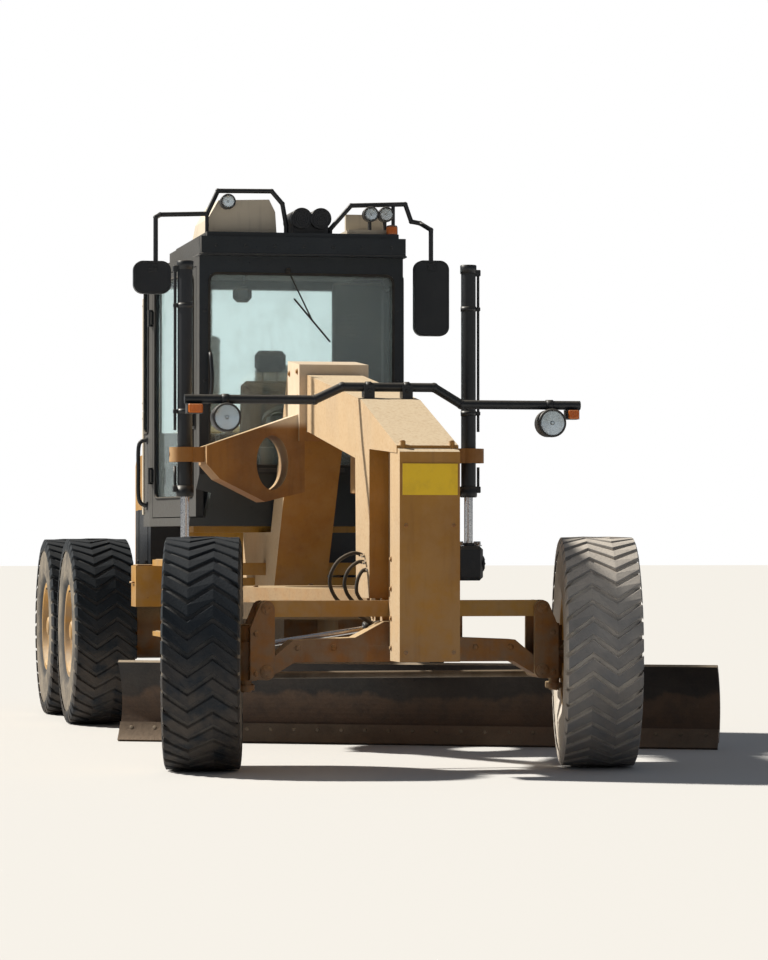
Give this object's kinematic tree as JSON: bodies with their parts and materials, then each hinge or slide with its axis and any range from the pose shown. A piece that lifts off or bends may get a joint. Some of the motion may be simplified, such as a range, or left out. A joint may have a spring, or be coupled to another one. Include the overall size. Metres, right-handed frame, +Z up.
{
  "type": "motor grader",
  "caption": "Articulated motor grader with leaning front wheels, tandem rear wheels, turning circle and blade, closed cab and hinged engine doors.",
  "frame": {"origin": "on the ground at the middle of the bounding box, with the blade in its resting pose", "axes": "+Z up, -Y towards the machine's front, +X to the machine's left"},
  "size_m": [3.709, 8.826, 3.5412],
  "materials": {
    "yellow_paint": "dusty gloss enamel",
    "rim_paint": "dusty enamel",
    "tyre": "dusty rubber",
    "cab_paint": "satin",
    "engine_grey": "rough",
    "black_paint": "satin",
    "exhaust_steel": "heat-stained",
    "roof_paint": "dusty",
    "cab_glass": "clear tinted",
    "seat_cloth": "woven",
    "control_plastic": "textured",
    "lamp_body": "housings and lenses",
    "mirror_plastic": "textured",
    "dark_steel": "oiled",
    "chrome": "polished",
    "blade_steel": "worn and soiled",
    "edge_steel": "worn and soiled"
  },
  "bodies": {
    "rear_body": {"rear_frame": "yellow_paint", "rear_axle": "yellow_paint", "engine_block": "engine_grey", "hood": "yellow_paint", "exhaust_stack": "exhaust_steel", "fuel_tank": "black_paint"},
    "front_body": {"main_frame": "yellow_paint", "lift_saddle": "yellow_paint", "cab_frame": "cab_paint", "cab_roof": "cab_paint", "roof_panels": "roof_paint", "cab_glass": "cab_glass", "seat": "seat_cloth", "controls": "control_plastic", "lamp_rails": "black_paint", "lamps": "lamp_body", "mirrors": "mirror_plastic", "cab_steps": "yellow_paint", "front_axle": "yellow_paint"},
    "hood_door_left": {"hood_door_left": "yellow_paint"},
    "hood_door_right": {"hood_door_right": "yellow_paint"},
    "rear_grille": {"rear_grille": "black_paint"},
    "lean_carrier_left": {"lean_carrier_left": "yellow_paint"},
    "lean_carrier_right": {"lean_carrier_right": "yellow_paint"},
    "knuckle_left": {"knuckle_left": "yellow_paint"},
    "knuckle_right": {"knuckle_right": "yellow_paint"},
    "lean_bar": {"lean_bar": "yellow_paint"},
    "tie_rod_end": {"tie_rod_end": "dark_steel"},
    "tie_rod": {"tie_rod": "dark_steel"},
    "lean_cylinder": {"lean_cylinder": "black_paint"},
    "lean_rod": {"lean_rod": "chrome"},
    "drawbar": {"drawbar": "yellow_paint"},
    "circle_ring_body": {"circle_ring": "yellow_paint"},
    "blade_bracket": {"blade_bracket": "yellow_paint", "shift_cylinder": "black_paint"},
    "lift_cylinder_left": {"lift_cylinder_left": "black_paint"},
    "lift_rod_left": {"lift_rod_left": "chrome"},
    "lift_cylinder_right": {"lift_cylinder_right": "black_paint"},
    "lift_rod_right": {"lift_rod_right": "chrome"},
    "cab_door_left": {"cab_door_left": "cab_paint", "cab_door_left_glass": "cab_glass"},
    "cab_door_right": {"cab_door_right": "cab_paint", "cab_door_right_glass": "cab_glass"},
    "rear_wheel_left_front": {"rear_rim_left_front": "rim_paint", "rear_tyre_left_front": "tyre"},
    "rear_wheel_left_back": {"rear_rim_left_back": "rim_paint", "rear_tyre_left_back": "tyre"},
    "rear_wheel_right_front": {"rear_rim_right_front": "rim_paint", "rear_tyre_right_front": "tyre"},
    "rear_wheel_right_back": {"rear_rim_right_back": "rim_paint", "rear_tyre_right_back": "tyre"},
    "front_wheel_left": {"front_rim_left": "rim_paint", "front_tyre_left": "tyre"},
    "front_wheel_right": {"front_rim_right": "rim_paint", "front_tyre_right": "tyre"},
    "blade": {"moldboard": "blade_steel", "cutting_edge": "edge_steel", "shift_rod": "chrome"}
  },
  "joints": [
    {"name": "articulation", "type": "hinge", "parent": "rear_body", "child": "front_body", "pos_m": [-0.435, 1.053, 0.925], "axis": [0, 0, 1], "range_deg": [-20, 20]},
    {"name": "rear_wheel_left_front_spin", "type": "hinge", "parent": "rear_body", "child": "rear_wheel_left_front", "pos_m": [0.635, 1.712, 0.645], "axis": [1, 0, 0], "continuous": true},
    {"name": "rear_wheel_left_back_spin", "type": "hinge", "parent": "rear_body", "child": "rear_wheel_left_back", "pos_m": [0.635, 3.234, 0.645], "axis": [1, 0, 0], "continuous": true},
    {"name": "rear_wheel_right_front_spin", "type": "hinge", "parent": "rear_body", "child": "rear_wheel_right_front", "pos_m": [-1.505, 1.712, 0.645], "axis": [1, 0, 0], "continuous": true},
    {"name": "rear_wheel_right_back_spin", "type": "hinge", "parent": "rear_body", "child": "rear_wheel_right_back", "pos_m": [-1.505, 3.234, 0.645], "axis": [1, 0, 0], "continuous": true},
    {"name": "lean_left", "type": "hinge", "parent": "front_body", "child": "lean_carrier_left", "pos_m": [0.3425, -3.647, 0.545], "axis": [0, 1, 0], "range_deg": [-18, 18]},
    {"name": "lean_right", "type": "hinge", "parent": "front_body", "child": "lean_carrier_right", "pos_m": [-1.2125, -3.647, 0.545], "axis": [0, 1, 0], "range_deg": [-18, 18]},
    {"name": "steer_left", "type": "hinge", "parent": "lean_carrier_left", "child": "knuckle_left", "pos_m": [0.4375, -3.647, 0.645], "axis": [0, 0, 1], "range_deg": [-35, 55]},
    {"name": "steer_right", "type": "hinge", "parent": "lean_carrier_right", "child": "knuckle_right", "pos_m": [-1.3075, -3.647, 0.645], "axis": [0, 0, 1], "range_deg": [-35, 55]},
    {"name": "front_wheel_left_spin", "type": "hinge", "parent": "knuckle_left", "child": "front_wheel_left", "pos_m": [0.67139, -3.68824, 0.645], "axis": [0.9848, -0.1736, 0], "continuous": true},
    {"name": "front_wheel_right_spin", "type": "hinge", "parent": "knuckle_right", "child": "front_wheel_right", "pos_m": [-1.54139, -3.60576, 0.645], "axis": [0.9848, -0.1736, 0], "continuous": true},
    {"name": "lean_bar_pivot", "type": "hinge", "parent": "lean_carrier_left", "child": "lean_bar", "pos_m": [0.3425, -3.707, 0.89], "axis": [0, 1, 0], "range_deg": [-18, 18]},
    {"name": "tie_end_turn", "type": "hinge", "parent": "knuckle_left", "child": "tie_rod_end", "pos_m": [0.48091, -3.4008, 0.515], "axis": [0, 0, 1], "range_deg": [-55, 35]},
    {"name": "tie_rod_tilt", "type": "hinge", "parent": "tie_rod_end", "child": "tie_rod", "pos_m": [0.48091, -3.4008, 0.515], "axis": [0, 1, 0], "range_deg": [-18, 18]},
    {"name": "lean_cylinder_swing", "type": "hinge", "parent": "front_body", "child": "lean_cylinder", "pos_m": [-0.105, -3.447, 0.845], "axis": [0, 1, 0], "range_deg": [-8, 8]},
    {"name": "lean_rod_slide", "type": "slide", "parent": "lean_cylinder", "child": "lean_rod", "axis": [-0.9893, 0, -0.1456], "range_m": [-0.1, 0.1]},
    {"name": "cab_door_left_hinge", "type": "hinge", "parent": "front_body", "child": "cab_door_left", "pos_m": [0.41839, 0.53358, 2.245], "axis": [0, 0, 1], "range_deg": [0, 80]},
    {"name": "cab_door_right_hinge", "type": "hinge", "parent": "front_body", "child": "cab_door_right", "pos_m": [-1.28839, 0.53358, 2.245], "axis": [0, 0, -1], "range_deg": [0, 80]},
    {"name": "hood_door_left_hinge", "type": "hinge", "parent": "rear_body", "child": "hood_door_left", "pos_m": [0.055, 2.28, 1.485], "axis": [0, 0, -1], "range_deg": [0, 75]},
    {"name": "hood_door_right_hinge", "type": "hinge", "parent": "rear_body", "child": "hood_door_right", "pos_m": [-0.925, 2.28, 1.485], "axis": [0, 0, 1], "range_deg": [0, 75]},
    {"name": "rear_grille_hinge", "type": "hinge", "parent": "rear_body", "child": "rear_grille", "pos_m": [0.055, 4.267, 1.445], "axis": [0, 0, -1], "range_deg": [0, 100]},
    {"name": "drawbar_lift", "type": "hinge", "parent": "front_body", "child": "drawbar", "pos_m": [-0.435, -3.317, 0.855], "axis": [1, 0, 0], "range_deg": [-3, 8]},
    {"name": "circle_turn", "type": "hinge", "parent": "drawbar", "child": "circle_ring_body", "pos_m": [-0.435, -1.347, 0.845], "axis": [0, 0, -1], "range_deg": [-71, 19]},
    {"name": "blade_tip", "type": "hinge", "parent": "circle_ring_body", "child": "blade_bracket", "pos_m": [-0.24212, -0.95153, 0.285], "axis": [0.8988, -0.4384, 0], "range_deg": [-10, 40]},
    {"name": "blade_side_shift", "type": "slide", "parent": "blade_bracket", "child": "blade", "axis": [0.8988, -0.4384, 0], "range_m": [-0.85, 0.15]},
    {"name": "lift_cylinder_left_swing", "type": "hinge", "parent": "front_body", "child": "lift_cylinder_left", "pos_m": [0.455, -1.377, 1.795], "axis": [1, 0, 0], "range_deg": [-10, 10]},
    {"name": "lift_rod_left_slide", "type": "slide", "parent": "lift_cylinder_left", "child": "lift_rod_left", "axis": [0, 0, 1], "range_m": [-0.15, 0.45]},
    {"name": "lift_cylinder_right_swing", "type": "hinge", "parent": "front_body", "child": "lift_cylinder_right", "pos_m": [-1.325, -1.377, 1.795], "axis": [1, 0, 0], "range_deg": [-10, 10]},
    {"name": "lift_rod_right_slide", "type": "slide", "parent": "lift_cylinder_right", "child": "lift_rod_right", "axis": [0, 0, 1], "range_m": [-0.15, 0.45]}
  ],
  "couplings": [
    {"joint": "steer_right", "follows": "steer_left", "ratio": 1},
    {"joint": "lean_right", "follows": "lean_left", "ratio": 1},
    {"joint": "lean_bar_pivot", "follows": "lean_left", "ratio": -1},
    {"joint": "tie_end_turn", "follows": "steer_left", "ratio": -1},
    {"joint": "tie_rod_tilt", "follows": "lean_left", "ratio": -0.892},
    {"joint": "lean_cylinder_swing", "follows": "lean_left", "ratio": -0.0367},
    {"joint": "lean_rod_slide", "follows": "lean_left", "m_per_rad": -0.1331},
    {"joint": "lift_cylinder_left_swing", "follows": "drawbar_lift", "ratio": -0.803},
    {"joint": "lift_rod_left_slide", "follows": "drawbar_lift", "m_per_rad": 1.9033},
    {"joint": "lift_cylinder_right_swing", "follows": "drawbar_lift", "ratio": -0.803},
    {"joint": "lift_rod_right_slide", "follows": "drawbar_lift", "m_per_rad": 1.9033}
  ]
}
